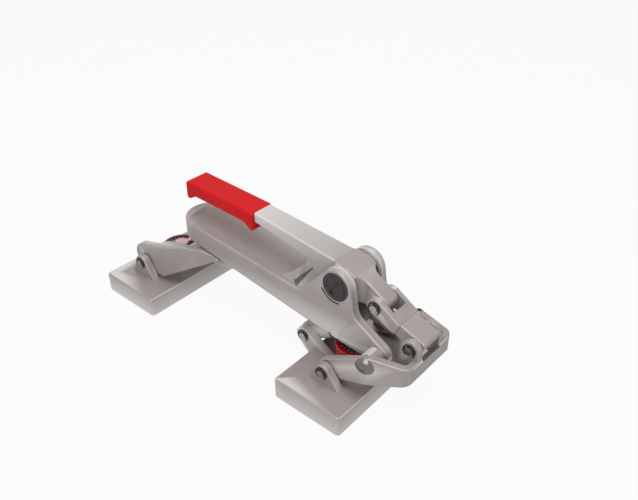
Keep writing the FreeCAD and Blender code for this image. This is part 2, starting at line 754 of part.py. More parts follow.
def make_beam():
    """Cast beam: a channel open below, with two cheeks that carry hub and nose."""
    body = new_body("main_beam")
    half, tail, ring = S.beam_half, S.beam_tail_x, S.beam_tail_round
    behind = tail - 6
    tail_bottom = S.beam_tail_top - S.beam_tail_depth
    side_pad(body, [
        (behind, tail_bottom + 2, 2),
        (tie_high[0], tie_high[1], S.tie_boss),
        (nose[0], nose[1], S.nose_radius),
        (hub[0] + S.brow_x, hub[1] - S.brow_drop, -S.brow_radius),
        (hub[0], hub[1], S.hub_radius),
        (S.cheek_base_x, S.cheek_base_z + S.cheek_hollow, -S.cheek_hollow),
        (behind, S.beam_tail_top - 2, 2),
    ], half)
    trim_sides(body, [
        (tail + ring, half - ring, -ring), (tail + ring + 5, half + 2, 2), (tail + ring + 5, half + 10, 2),
        (tail - 15, half + 10, 2), (tail - 15, half - ring - 5, 2), (tail - 2, half - ring - 5, 2)])
    soften(body, S.beam_edge)
    slot_x = S.cheek_base_x + 16
    front = nose[0] + S.nose_radius + 20
    top = hub[1] + S.hub_radius + 10
    channel_rear = tail + 24
    side_pocket(body, [
        (channel_rear, nose[1] - 30, 2),
        (front, nose[1] - 30, 2),
        (front, top, 2),
        (slot_x + 2, top, 2),
        (slot_x - 2, roof_under(slot_x) + 2, -2),
        (channel_rear + 1, roof_under(channel_rear) - 3, 3),
    ], gap_half)
    low_x, high_x, corner = S.cheek_base_x - 8, slot_x + 3, size(0.6)
    floor = S.roof_wall + corner - 0.05
    side_pocket(body, [
        (low_x, roof_under(low_x) + floor, corner), (high_x, roof_under(high_x) + floor, corner),
        (high_x, top, corner), (low_x, top, corner)], gap_half)
    cross_bore(body, hub, S.screw_shank + S.seat_gap)
    cross_bore(body, nose, S.rivet_radius + S.run_gap)
    cross_bore(body, tie_high, S.pin_radius + S.seat_gap)
    for side in (-1, 1):
        sketch = new_sketch(body, "XZ_Plane", half * side)
        add_circle(sketch, hub[0], hub[1], S.screw_radius + S.run_gap)
        pocket(body, sketch, S.screw_seat, back=side < 0)
    for x in bracket_screw_places():
        sketch = new_sketch(body, "XY_Plane", roof_under(x) - 2)
        add_circle(sketch, x, 0, S.bracket_screw + S.seat_gap)
        pocket(body, sketch, S.bracket_screw_bite + 2.2, back=True)
    cut_dish(body)
    return node(body, "main_beam")


def cut_dish(body):
    """Shallow trough along the beam top, turned about a line above the beam."""
    slope = math.atan2((S.beam_tail_top - S.cheek_base_z).value, (S.cheek_base_x - S.beam_tail_x).value)
    depth, end = S.dish_depth, S.dish_end
    reach = (S.dish_half * S.dish_half + depth * depth) / (depth * 2)
    sketch = new_sketch(body, "XZ_Plane")
    bind(sketch, "AttachmentOffset.Base.y", roof_under(0) + S.roof_wall + reach - depth)
    sketch.AttachmentOffset.Rotation = FreeCAD.Rotation(FreeCAD.Vector(0, 0, 1), -math.degrees(slope))
    rear = S.beam_tail_x + S.dish_margin
    front = S.cheek_base_x - S.dish_margin
    add_outline(sketch, [
        (rear + end, end - reach, end), (front - end, end - reach, end),
        (front - 1, depth + 4 - reach, 1), (rear + 1, depth + 4 - reach, 1)])
    groove = body.newObject("PartDesign::Groove", body.Label + "_dish")
    groove.Profile = sketch
    groove.ReferenceAxis = (sketch, ["H_Axis"])
    groove.Angle = 360
    body.Tip = groove
    DOC.recompute()


def bracket_screw_places():
    return [S.bracket_taper_x + 12, S.tongue_end_x - 10]


def tongue_under(x):
    """Height of the tongue's underside at x."""
    return rear_pin[1] + 15.5 + (size(x) - tongue_rear) * S.tongue_rise


def make_bracket():
    """Fork casting: pivots on the rear foot, and its tongue fills the beam's channel."""
    body = new_body("rear_bracket")
    half, narrow, neck = S.bracket_half, S.beam_half + S.side_gap, S.bracket_neck
    end = S.tongue_end_x
    side_pad(body, [
        (rear_pin[0] - S.heel_back, rear_pin[1] + S.heel_rise, S.heel_radius),
        (rear_pin[0] + S.chin_x, rear_pin[1] - S.chin_drop, 3),
        (S.bracket_taper_x + 4, rear_pin[1] + 30, 1.5),
        (S.bracket_taper_x - 14, rear_pin[1] + 31.5, 3),
        (rear_pin[0] + S.shoulder_x, rear_pin[1] + S.shoulder_rise, S.shoulder_radius),
    ], half)
    trim_sides(body, [
        (rear_pin[0] + 29, half + 2, 2), (S.bracket_taper_x, narrow + neck, neck),
        (end + 20, narrow + 2, 2), (end + 20, half + 20, 2), (rear_pin[0] + 29, half + 20, 2)])
    soften(body, S.cast_edge)
    side_pocket(body, [
        (rear_pin[0] + 25, rear_pin[1] + 16.5, 3), (S.bracket_taper_x - 24, rear_pin[1] + 28, 3),
        (S.bracket_taper_x - 24, rear_pin[1] + 50, 2), (rear_pin[0] + 25, rear_pin[1] + 50, 2),
    ], S.beam_half + 2)
    side_pad(body, [
        (tongue_rear, tongue_under(tongue_rear) + 2, 2), (end - 2, tongue_under(end - 2) + 2, 2),
        (end - 2, roof_under(end) - 2 - S.seat_gap, 2),
        (tongue_rear, roof_under(tongue_rear) - 2 - S.seat_gap, 2),
    ], gap_half - S.seat_gap)
    fork = half - S.bracket_wall
    well = S.dial_well
    sketch = new_sketch(body, "XY_Plane")
    add_outline(sketch, [
        (-well, 3 - fork, 3), (6, 6 - fork, 6), (well - 8, -well / 2, 10),
        (well - 8, well / 2, 10), (6, fork - 6, 6), (-well, fork - 3, 3)])
    pocket(body, sketch, both=True)
    cross_bore(body, rear_pin, S.pin_radius + S.run_gap)
    sketch = new_sketch(body, "XY_Plane")
    for x in bracket_screw_places():
        add_circle(sketch, x, 0, S.bracket_screw + S.seat_gap)
    pocket(body, sketch, both=True)
    for x in bracket_screw_places():
        sketch = new_sketch(body, "XY_Plane", tongue_under(x) + S.bracket_screw_sink)
        add_circle(sketch, x, 0, S.bracket_screw * 2 + 0.3)
        pocket(body, sketch)
    return node(body, "rear_bracket")


def make_bracket_screws():
    screws = []
    for x in bracket_screw_places():
        tag = "bracket_screws_%d" % len(screws)
        seat = tongue_under(x) + S.bracket_screw_sink
        end = roof_under(x) + S.bracket_screw_bite
        head = upright_rod(tag + "_head", S.bracket_screw * 2, seat - S.bracket_screw_head, seat, x)
        shank = upright_rod(tag + "_shank", S.bracket_screw, seat, end, x)
        screws.append(fuse(tag, [head, shank]))
    return node(group("bracket_screws", screws), "bracket_screws")


# ---------------------------------------------------------------- handle
hub_half = gap_half - S.washer_wall - S.side_gap
grip_front = S.grip_rear_x + S.grip_length


def grip_middle(x):
    """Height of the grip's middle line at x."""
    fall = (S.grip_top_rear - S.grip_top_front) / S.grip_length
    return S.grip_top_rear - (size(x) - S.grip_rear_x) * fall - S.grip_thick / 2


def core_outline(room):
    half = S.core_thick / 2 + room
    corner = size(1.5)
    rear, front = S.grip_rear_x + 10 - room, grip_front + 6
    return [
        (rear + corner, grip_middle(rear) - half + corner, corner),
        (front - corner, grip_middle(front) - half + corner, corner),
        (front - corner, grip_middle(front) + half - corner, corner),
        (rear + corner, grip_middle(rear) + half - corner, corner),
    ]


def make_lever():
    """Forged lever: core in the grip, shank, hub between the cheeks, and crank."""
    body = new_body("handle_lever")
    start = grip_front + 0.4
    top = S.grip_top_front + S.shank_rise
    radius = S.lever_hub_radius
    behind = start - 4
    side_pad(body, [
        (behind, top - S.shank_thick + 2, 2),
        (hub[0] - S.throat_back, hub[1] - S.throat_drop, -S.throat_radius),
        (hub[0] - S.step_back, hub[1] - S.step_drop, 3),
        (hub[0], hub[1], radius),
        (crank_pin[0], crank_pin[1], S.crank_radius),
        (hub[0], hub[1], radius),
        (behind, top - 2, 2),
    ], hub_half)
    wide = hub_half + 15
    meet, hollow = hub[0] - S.shank_back, S.shank_round
    trim_sides(body, [
        (behind - 4, S.shank_half + 2, 2), (meet - hollow, S.shank_wide + hollow, hollow),
        (meet - 2, wide, 2), (behind - 4, wide, 2)])
    trim_sides(body, [
        (hub[0] + 20, S.crank_half + 8, 8), (crank_pin[0] + 24, S.crank_half + 2, 2),
        (crank_pin[0] + 24, wide, 2), (hub[0] + 14, wide, 2)])
    side_pocket(body, block(behind - 10, start, top - 40, top + 20, 1), wide)
    soften(body, S.lever_edge, lambda edge: edge.BoundBox.XMin > start.value + 0.01)
    side_pad(body, core_outline(size(0)), S.core_half)
    cross_bore(body, hub, S.screw_shank + S.bush_wall + S.seat_gap)
    cross_bore(body, crank_pin, S.pin_radius + S.seat_gap)
    return node(body, "handle_lever")


def make_grip():
    """Red moulded grip with a lip below each end."""
    body = new_body("handle_grip")
    rear, front = S.grip_rear_x, grip_front
    tip = size(3)
    half = S.grip_thick / 2
    under_rear = grip_middle(rear + 13) - half
    under_front = grip_middle(front - 14) - half
    side_pad(body, [
        (rear + tip, grip_middle(rear) - half - S.grip_flare_rear + tip, tip),
        (rear + 14, under_rear - 8, -8),
        (front - 15, under_front - 8, -8),
        (front - tip, grip_middle(front) - half - S.grip_flare_front + tip, tip),
        (front - tip, S.grip_top_front - tip, tip),
        (rear + tip, S.grip_top_rear - tip, tip),
    ], S.grip_half)
    soften(body, S.grip_edge)
    side_pocket(body, core_outline(S.seat_gap), S.core_half + S.seat_gap)
    return node(body, "handle_grip")


def make_hub_screw():
    """Slotted screw through both cheeks, its bush, washers and slotted nut."""
    head_low = S.beam_half - S.screw_seat + S.seat_gap
    head_top = S.beam_half + 0.5
    head = cross_rod("hub_screw_head", S.screw_radius, -head_top, -head_low, hub)
    shank = cross_rod("hub_screw_shank", S.screw_shank, -head_low, head_low + 0.5, hub)
    solid = fuse("hub_screw_solid", [head, shank])
    node(cut("hub_screw", solid, driver_slot("hub_screw_slot", -head_top - 1, 1.9)), "hub_screw")
    disc = tube("hub_nut_disc", S.screw_radius, S.screw_shank + S.seat_gap,
                head_low, head_top, hub)
    node(cut("hub_nut", disc, driver_slot("hub_nut_slot", head_top - 0.9, 1.9)), "hub_nut")
    inner = S.screw_shank + S.run_gap
    bush = tube("hub_bush", S.screw_shank + S.bush_wall, inner, -hub_half, hub_half, hub)
    node(bush, "hub_bush")
    washer = tube("hub_washer", S.lever_hub_radius - 1, inner, hub_half + S.side_gap / 2,
                  gap_half - S.seat_gap, hub)
    pair("hub_washers", washer)


def driver_slot(name, start, depth):
    """Box for a screwdriver slot across the hub screw, on the slant."""
    slant = 60
    box = DOC.addObject("Part::Box", name)
    box.Placement.Rotation = FreeCAD.Rotation(FreeCAD.Vector(0, 1, 0), -slant)
    reach = S.screw_radius * 0.72
    cosine, sine = math.cos(math.radians(slant)), math.sin(math.radians(slant))
    bind(box, "Length", reach * 2)
    bind(box, "Width", depth)
    bind(box, "Height", S.screw_slot)
    half = S.screw_slot / 2
    return place(box, hub[0] - reach * cosine + half * sine, start, hub[1] - reach * sine - half * cosine)


def through_pin(name, centre, seat):
    side = grooved_pin(name + "_half", centre, size(0), seat, False)
    return node(fuse(name, [side, mirror(side)]), name)


def make_crank_pin():
    seat = link_half + 0.15
    through_pin("crank_pin", crank_pin, seat)
    pair("crank_pin_clips", spring_clip("crank_pin_clip", crank_pin, seat))


# ---------------------------------------------------------------- toggle link
link_run = Size(math.hypot(S.link_x.value, S.link_drop.value),
                "sqrt(Sheet.link_x ^ 2 + Sheet.link_drop ^ 2)")


def on_link(along, across):
    """Point in the link's own directions, measured from the crank pin."""
    step_x, step_z = S.link_x / link_run, -S.link_drop / link_run
    return (crank_pin[0] + step_x * along - step_z * across,
            crank_pin[1] + step_z * along + step_x * across)


def make_link():
    """H-shaped link: two arms astride the crank and a block between the yoke ears."""
    body = new_body("toggle_link")
    step, rise = S.link_wide - 2, S.link_arm_rise - 2
    side_pad(body, [(*crank_pin, S.link_eye), (*on_link(step, -rise), 2), (*on_link(step, rise), 2)],
             link_half)
    soften(body, S.cast_edge)
    step, lip = S.link_slot + 1, link_run + S.link_lip
    side_pad(body, [(*on_link(step, -rise), 2), (*yoke_pin, S.link_nose),
                    (*on_link(lip, S.link_lip_rise), 3), (*on_link(step, S.link_block_rise - 2), 2)],
             S.link_block_half)
    front = on_link(S.link_wide, 0)[0].value
    soften(body, S.cast_edge, lambda edge: edge.BoundBox.XMax > front + 8)
    room = size(14)
    side_pocket(body, [(*on_link(-room, -room), 1), (*on_link(S.link_slot - 1, -room), 1),
                       (*on_link(S.link_slot - 1, room), 1), (*on_link(-room, room), 1)],
                S.crank_half + S.side_gap)
    cross_bore(body, crank_pin, S.pin_radius + S.run_gap)
    return node(body, "toggle_link")


def make_stop_screw():
    """Set screw in the block that meets the crank nose."""
    screw = DOC.addObject("Part::Cylinder", "stop_screw")
    slope = math.degrees(math.atan2(S.link_drop.value, S.link_x.value))
    screw.Placement.Rotation = FreeCAD.Rotation(FreeCAD.Vector(0, 1, 0), 90 + slope)
    start = on_link(S.crank_radius + 1.6, 0)
    bind(screw, "Radius", 2.2)
    bind(screw, "Height", S.link_slot - S.crank_radius - 1.6)
    place(screw, start[0], 0, start[1])
    return node(screw, "stop_screw")


# ---------------------------------------------------------------- yoke and tie bar
yoke_face = nose[0] + S.yoke_front
yoke_turn = (nose[0] - S.yoke_bend, S.yoke_half - S.yoke_bend_round)
yoke_round = (yoke_face - S.yoke_corner, S.yoke_front_half - S.yoke_corner)


def toe_angle():
    """Angle by which the front of a yoke arm slants inwards."""
    along, across = (yoke_round[0] - yoke_turn[0]).value, (yoke_round[1] - yoke_turn[1]).value
    rounds = (S.yoke_bend_round - S.yoke_corner).value
    return math.atan2(along, across) - math.acos(rounds / math.hypot(along, across))


def toe_face(x):
    """Half width of the yoke at x, on the slanting part of its arms."""
    angle = toe_angle()
    line = yoke_turn[1] + S.yoke_bend_round / math.cos(angle)
    return line - (size(x) - yoke_turn[0]) * math.tan(angle)


def make_yoke():
    """U-shaped yoke: foot pins at its open end, nose pivots on its arms, ears on its bar."""
    body = new_body("yoke")
    half, wall = S.yoke_half, S.yoke_wall
    front, corner, swing = yoke_face, S.yoke_corner, S.yoke_bend_round
    (turn, turn_y), (corner_x, corner_y) = yoke_turn, yoke_round
    side_pad(body, [
        (*front_pin, S.yoke_eye), (front - 4, S.yoke_bottom + 4, 4), (front - 3, S.yoke_top - 3, 3),
        (turn + 8, S.yoke_top - 8, 8),
    ], half)
    trim_sides(body, [
        (corner_x, corner_y, -corner), (front + 6, corner_y - 20, 2), (front + 10, corner_y - 20, 2),
        (front + 10, half + 10, 2), (turn - 20, half + 10, 2), (turn - 20, half + 2, 2),
        (turn, turn_y, -swing)])
    soften(body, S.cast_edge)
    rear = front_pin[0] - 30
    sketch = new_sketch(body, "XY_Plane")
    add_outline(sketch, [
        (rear, 5 - yoke_inner, 5), (turn, -turn_y, swing - wall), (corner_x, -corner_y, corner - wall),
        (corner_x, corner_y, corner - wall), (turn, turn_y, swing - wall), (rear, yoke_inner - 5, 5)])
    pocket(body, sketch, both=True)
    soften(body, S.cast_edge / 2)
    sketch = new_sketch(body, "XZ_Plane")
    add_circle(sketch, nose[0], nose[1], S.boss_radius)
    pad(body, sketch, (yoke_inner + 1) * 2, both=True)
    sketch = new_sketch(body, "XZ_Plane")
    add_circle(sketch, nose[0], nose[1], S.boss_radius + 3)
    pocket(body, sketch, (S.beam_half + S.side_gap) * 2, both=True)
    ear_base = S.yoke_top - 11
    side_pad(body, [
        (yoke_pin[0] - 10, ear_base, 2), (front - 3, ear_base, 2), (*yoke_pin, S.yoke_ear_radius),
    ], yoke_ear_outer)
    room = S.link_nose + S.link_play
    left, high = yoke_pin[0] - 22, yoke_pin[1] + 20
    side_pocket(body, [
        (left, yoke_pin[1] - room + 2, 2), (*yoke_pin, room),
        (yoke_pin[0] + room - 2, high, 2), (left, high, 2),
    ], yoke_ear_inner)
    side_pocket(body, block(left, front - wall, S.yoke_bottom - 5, yoke_pin[1], 1), yoke_ear_inner)
    top = S.yoke_top.value
    soften(body, S.cast_edge / 2, lambda edge: edge.BoundBox.ZMax > top + 2)
    cross_bore(body, nose, S.rivet_radius + S.seat_gap)
    cross_bore(body, front_pin, S.pin_radius + S.run_gap)
    cross_bore(body, yoke_pin, S.pin_radius + S.seat_gap)
    return node(body, "yoke")


def make_nose_rivets():
    """Dome-headed rivets, pressed in the yoke's slanting arms, that turn in the cheeks."""
    dome, height = S.dome_radius, S.dome_height
    ball_radius = (dome * dome + height * height) / (height * 2)
    angle, sink = toe_angle(), ball_radius - height
    end = toe_face(nose[0] - S.rivet_radius)
    shank = cross_rod("nose_rivet_shank", S.rivet_radius, gap_half, end, nose)
    ball = DOC.addObject("Part::Sphere", "nose_rivet_ball")
    bind(ball, "Radius", ball_radius)
    place(ball, nose[0] - sink * math.sin(angle), toe_face(nose[0]) - sink * math.cos(angle), nose[1])
    reach = ball_radius * 2
    outside = DOC.addObject("Part::Box", "nose_rivet_outside")
    outside.Placement.Rotation = FreeCAD.Rotation(FreeCAD.Vector(0, 0, 1), -math.degrees(angle))
    for prop in ("Length", "Width", "Height"):
        bind(outside, prop, reach)
    rear = nose[0] - reach / 2
    place(outside, rear, toe_face(rear) + S.seat_gap, nose[1] - reach / 2)
    dome = DOC.addObject("Part::Common", "nose_rivet_dome")
    dome.Base, dome.Tool = ball, outside
    pair("nose_rivets", fuse("nose_rivet", [shank, dome]))


def make_yoke_pins():
    seat = yoke_ear_outer + 0.1
    pair("yoke_pins", grooved_pin("yoke_pin", yoke_pin, yoke_ear_inner + 0.1, seat, False))
    pair("yoke_pin_clips", spring_clip("yoke_pin_clip", yoke_pin, seat))


def make_foot_pins(side, pin, arm_inner):
    seat = S.ear_half + 0.15
    pair(side + "_foot_pins", grooved_pin(side + "_foot_pin", pin, arm_inner - 0.3, seat, True))
    pair(side + "_foot_pin_clips", spring_clip(side + "_foot_pin_clip", pin, seat))


def make_tie_bar():
    """Solid bar that keeps the front foot level, with its two pins."""
    body = new_body("tie_bar")
    side_pad(body, [(*tie_low, S.tie_radius), (*tie_high, S.tie_radius)], S.tie_half)
    soften(body, S.cast_edge)
    cross_bore(body, tie_low, S.pin_radius + S.run_gap)
    cross_bore(body, tie_high, S.pin_radius + S.run_gap)
    node(body, "tie_bar")
    end = S.beam_half - 0.2
    node(cross_rod("tie_top_pin", S.pin_radius, -end, end, tie_high), "tie_top_pin")
    seat = S.tie_ear_half + 0.15
    through_pin("tie_foot_pin", tie_low, seat)
    pair("tie_foot_pin_clips", spring_clip("tie_foot_pin_clip", tie_low, seat))


def check_and_export():
    """Stops on a failed object or shape, then writes one STEP file for each piece."""
    DOC.recompute()
    for thing in DOC.Objects:
        if "Invalid" in thing.State or "Error" in thing.State:
            raise RuntimeError("%s failed: %s" % (thing.Name, thing.State))
    for piece in NODES:
        if piece.Shape.isNull() or not piece.Shape.isValid() or not piece.Shape.Solids:
            raise RuntimeError("%s has no valid solid" % piece.Label)
    os.makedirs("parts", exist_ok=True)
    for piece in NODES:
        piece.Shape.exportStep("parts/%s.step" % piece.Label)
        print("%-24s %d solids %10.1f mm3" % (piece.Label, len(piece.Shape.Solids), piece.Shape.Volume))


make_beam()
make_bracket()
make_bracket_screws()
make_lever()
make_grip()
make_hub_screw()
make_crank_pin()
make_link()
make_stop_screw()
make_yoke()
make_nose_rivets()
make_yoke_pins()
make_tie_bar()
make_foot_pins("front", front_pin, yoke_inner)
make_foot_pins("rear", rear_pin, S.bracket_half - S.bracket_wall)
make_foot("front", front_x, front_pin, True)
make_foot("rear", size(0), rear_pin, False)
check_and_export()
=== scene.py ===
"""Dressed model of a locking carpet seam stretcher, laid out as an add-on.

Lengths are metres in the part's own frame: the origin is the middle of the rear
foot's sole, +X points to the nose, +Y to the far side and +Z up.
"""
import math

import bmesh
import bpy
from bpy.props import FloatProperty, FloatVectorProperty, IntProperty
from mathutils import Matrix, Vector


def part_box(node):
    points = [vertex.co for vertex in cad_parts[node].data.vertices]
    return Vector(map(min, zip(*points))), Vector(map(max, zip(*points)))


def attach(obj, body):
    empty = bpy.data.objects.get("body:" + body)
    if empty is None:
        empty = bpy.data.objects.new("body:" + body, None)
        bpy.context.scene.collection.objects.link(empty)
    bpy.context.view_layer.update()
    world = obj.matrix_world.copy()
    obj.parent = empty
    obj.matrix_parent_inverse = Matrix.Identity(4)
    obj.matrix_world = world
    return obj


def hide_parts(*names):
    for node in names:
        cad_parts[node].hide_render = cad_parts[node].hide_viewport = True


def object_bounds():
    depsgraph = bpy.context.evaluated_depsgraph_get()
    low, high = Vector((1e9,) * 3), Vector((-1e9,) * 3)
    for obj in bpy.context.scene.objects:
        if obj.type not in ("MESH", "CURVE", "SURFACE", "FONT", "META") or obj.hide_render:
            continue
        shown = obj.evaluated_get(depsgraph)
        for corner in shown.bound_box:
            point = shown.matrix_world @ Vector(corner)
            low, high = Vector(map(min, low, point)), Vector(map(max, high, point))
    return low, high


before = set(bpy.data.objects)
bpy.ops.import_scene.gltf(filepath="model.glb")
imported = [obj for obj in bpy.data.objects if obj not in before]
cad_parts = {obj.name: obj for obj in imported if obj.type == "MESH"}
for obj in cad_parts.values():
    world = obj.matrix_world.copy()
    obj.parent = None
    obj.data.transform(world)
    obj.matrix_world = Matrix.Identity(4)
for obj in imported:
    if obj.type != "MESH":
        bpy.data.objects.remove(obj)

bl_info = {
    "name": "Seam stretcher",
    "version": (1, 0, 0),
    "blender": (4, 5, 0),
    "location": "View3D > Sidebar > Seam stretcher",
    "description": "Dresses the packed seam stretcher with finishes, marks, dials and a stage",
    "category": "Object",
}

CAD_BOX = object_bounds()
MM = 0.001
FEET = ("front", "rear")

WELD = 0.002 * MM  # corners nearer than this are one corner
FLAT = math.radians(1.0)  # faces nearer than this to one plane are one face
WIRE_SIDES = 10
SPIN_STEPS = 48

TIE_PIN_ARC = (5.7 * MM, 0.7 * MM, (38, 129))
SCREW_RING = (9.2 * MM, 0.35 * MM, (0, 360))
HUB_ARC = (15.6 * MM, 0.6 * MM, (75, 80))
LONG_TICK, SHORT_TICK = 3.4 * MM, 1.8 * MM
TICK_WIDTH, TICK_HEIGHT = 0.55 * MM, 0.2 * MM
TICK_LIFT = 0.05 * MM

FLOOR_HALF = 4
FLOOR_DROP = 0.02 * MM
WORLD_STRENGTH = 0.26
LAMP_AIM = (0.15, 0, 0.05)
CAMERA_PLACE = (0.508, -0.372, 0.438)
SENSOR_WIDTH = 36
CASTINGS = (
    ("main_beam", "body", "cast_body"),
    ("rear_bracket", "body", "cast_body"),
    ("handle_lever", "handle", "lever_metal"),
    ("toggle_link", "link", "link_metal"),
    ("yoke", "yoke", "yoke_metal"),
    ("tie_bar", "tie_link", "yoke_metal"),
    ("front_foot", "front_base", "foot_metal"),
    ("rear_foot", "rear_base", "foot_metal"),
)


# ---------------------------------------------------------------- places from the CAD parts
def middle(node):
    """Centre of a CAD node's box."""
    low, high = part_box(node)
    return (Vector(low) + Vector(high)) / 2


def width(node, axis):
    """Length of a CAD node's box along one axis."""
    low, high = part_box(node)
    return high[axis] - low[axis]


# ---------------------------------------------------------------- settings
class CastingSettings(bpy.types.PropertyGroup):
    """Finish of the cast pieces."""

    colour: FloatVectorProperty(
        name="Casting colour", description="Satin colour of the cast metal",
        default=(0.40, 0.355, 0.34), subtype="COLOR", min=0.0, max=1.0)
    # Painted highlight: a brighter colour laid on outward edges where light catches them.
    edge_highlight: FloatVectorProperty(
        name="Edge colour", description="Brighter colour on rubbed edges",
        default=(0.72, 0.69, 0.67), subtype="COLOR", min=0.0, max=1.0)
    grain: FloatProperty(
        name="Grain", description="Strength of the cast skin's fine bumps",
        default=0.12, min=0.0, max=1.0)


class GripSettings(bpy.types.PropertyGroup):
    """Moulded hand grip."""

    colour: FloatVectorProperty(
        name="Grip colour", description="Red of the moulded grip",
        default=(0.72, 0.012, 0.014), subtype="COLOR", min=0.0, max=1.0)


class DialSettings(bpy.types.PropertyGroup):
    """Needle depth dials."""

    ticks: IntProperty(
        name="Ticks", description="Marks round each dial's scale", default=24, min=4, max=72)
    # The two rim reds are lit and shaded copies of one rim colour: painted light on the front rim,
    # painted shade on the rear rim.
    rear_rim: FloatVectorProperty(
        name="Rear rim colour", description="Dark red of the rear dial's rim",
        default=(0.14, 0.006, 0.016), subtype="COLOR", min=0.0, max=1.0)
    front_rim: FloatVectorProperty(
        name="Front rim colour", description="Bright red of the front dial's rim",
        default=(0.58, 0.01, 0.01), subtype="COLOR", min=0.0, max=1.0)


class StageSettings(bpy.types.PropertyGroup):
    """Camera, lamps and floor."""

    bearing: FloatProperty(
        name="Camera bearing", description="Turn of the camera about the upright axis",
        default=math.radians(40.48), subtype="ANGLE")
    tilt: FloatProperty(
        name="Camera tilt", description="How far the camera looks down",
        default=math.radians(33.83), subtype="ANGLE")
    lens: FloatProperty(
        name="Lens", description="Focal length in millimetres", default=39.27, min=1.0)
    lamp_power: FloatProperty(
        name="Lamp power", description="Power of the main lamp in watts", default=3.0, min=0.0)


SETTINGS = {
    "stretcher_casting": CastingSettings,
    "stretcher_grip": GripSettings,
    "stretcher_dial": DialSettings,
    "stretcher_stage": StageSettings,
}


# ---------------------------------------------------------------- materials
class Finish:
    """A new material with its shader, and short calls that add linked nodes."""

    def __init__(self, name, **sockets):
        self.material = bpy.data.materials.new(name)
        self.material.use_nodes = True
        self.nodes = self.material.node_tree.nodes
        self.links = self.material.node_tree.links
        self.shader = self.nodes["Principled BSDF"]
        self.place = self.nodes.new("ShaderNodeTexCoord").outputs["Object"]
        for socket, value in sockets.items():
            self.shader.inputs[socket.replace("_", " ")].default_value = value

    def add(self, kind, inputs=None, **settings):
        node = self.nodes.new(kind)
        for key, value in settings.items():
            setattr(node, key, value)
        for key, value in (inputs or {}).items():
            if isinstance(value, bpy.types.NodeSocket):
                self.links.new(value, node.inputs[key])
            else:
                node.inputs[key].default_value = value
        return node

    def noise(self, size, detail=3.0, roughness=0.5):
        """Soft noise whose patches are about that size."""
        node = self.add("ShaderNodeTexNoise", {
            "Vector": self.place, "Scale": 1.0 / size, "Detail": detail, "Roughness": roughness})
        return node.outputs["Fac"]

    def steps(self, source, *stops):
        """Colour ramp with (position, grey or colour) stops."""
        node = self.add("ShaderNodeValToRGB", {"Fac": source})
        ramp = node.color_ramp
        while len(ramp.elements) < len(stops):
            ramp.elements.new(0.5)
        for element, (position, colour) in zip(ramp.elements, stops):
            element.position = position
            element.color = (colour,) * 3 + (1,) if isinstance(colour, float) else (*colour, 1)
        return node.outputs["Color"]

    def mix(self, amount, first, second, blend="MIX"):
        node = self.add("ShaderNodeMix", data_type="RGBA", blend_type=blend)
        pairs = zip((node.inputs[0], node.inputs[6], node.inputs[7]), (amount, first, second))
        for socket, value in pairs:
            if isinstance(value, bpy.types.NodeSocket):
                self.links.new(value, socket)
            elif isinstance(value, float):
                socket.default_value = value
            else:
                socket.default_value = (*value, 1)
        return node.outputs[2]

    def edges(self, low, high):
        """White on outward edges, black elsewhere."""
        point = self.add("ShaderNodeNewGeometry").outputs["Pointiness"]
        return self.steps(point, (low, 0.0), (high, 1.0))

    def bump(self, source, strength, depth):
        node = self.add("ShaderNodeBump", {
            "Height": source, "Strength": strength, "Distance": depth})
        self.links.new(node.outputs["Normal"], self.shader.inputs["Normal"])

    def into(self, socket, source):
        self.links.new(source, self.shader.inputs[socket])


def darker(colour, share):
    return tuple(part * share for part in colour)


def cast_finish(name, colour, edge_highlight, grain):
    """Satin cast metal: clouded and finely speckled, with a painted highlight of brighter colour on
    outward edges.
    """
    skin = Finish(name, Metallic=0.3, Roughness=0.42)
    clouds = skin.steps(skin.noise(0.03), (0.3, darker(colour, 0.86)), (0.7, darker(colour, 1.05)))
    speckle = skin.steps(skin.noise(0.0012, 2.0), (0.36, darker(colour, 0.72)), (0.47, colour))
    base = skin.mix(0.35, clouds, speckle)
    # Painted highlight: pointiness mixes outward edges toward the brighter edge colour.
    skin.into("Base Color", skin.mix(skin.edges(0.515, 0.58), base, edge_highlight))
    skin.into("Roughness", skin.steps(skin.noise(0.006), (0.3, 0.36), (0.7, 0.5)))
    skin.bump(skin.noise(0.0016, 4.0), grain, 0.3 * MM)
    return skin.material


def grip_finish(colour):
    """Smooth moulded plastic with a faint orange-peel skin."""
    skin = Finish("moulded_red_grip", Roughness=0.5, Specular_IOR_Level=0.12)
    skin.into("Base Color", skin.steps(skin.noise(0.02), (0.3, darker(colour, 0.9)), (0.7, colour)))
    skin.bump(skin.noise(0.0022, 2.0), 0.08, 0.2 * MM)
    return skin.material


def steel_finish(name, colour, roughness):
    """Turned steel with fine brushed lines."""
    skin = Finish(name, Metallic=0.9, Roughness=roughness)
    skin.into("Base Color", skin.steps(skin.noise(0.004), (0.3, darker(colour, 0.8)), (0.7, colour)))
    skin.bump(skin.noise(0.0007, 2.0), 0.08, 0.1 * MM)
    return skin.material


def dark_finish(name, colour, roughness):
    """Blackened steel with a mottled colour."""
    skin = Finish(name, Metallic=0.5, Roughness=roughness)
    mottled = skin.steps(skin.noise(0.003), (0.3, darker(colour, 0.6)), (0.7, darker(colour, 1.5)))
    skin.into("Base Color", mottled)
    skin.bump(skin.noise(0.001, 3.0), 0.15, 0.1 * MM)
    return skin.material


def plastic_finish(name, colour, roughness):
    """Plain moulded plastic with a slight cloud."""
    skin = Finish(name, Roughness=roughness)
    skin.into("Base Color", skin.steps(skin.noise(0.008), (0.3, darker(colour, 0.85)), (0.7, colour)))
    skin.bump(skin.noise(0.0015, 2.0), 0.05, 0.1 * MM)
    return skin.material


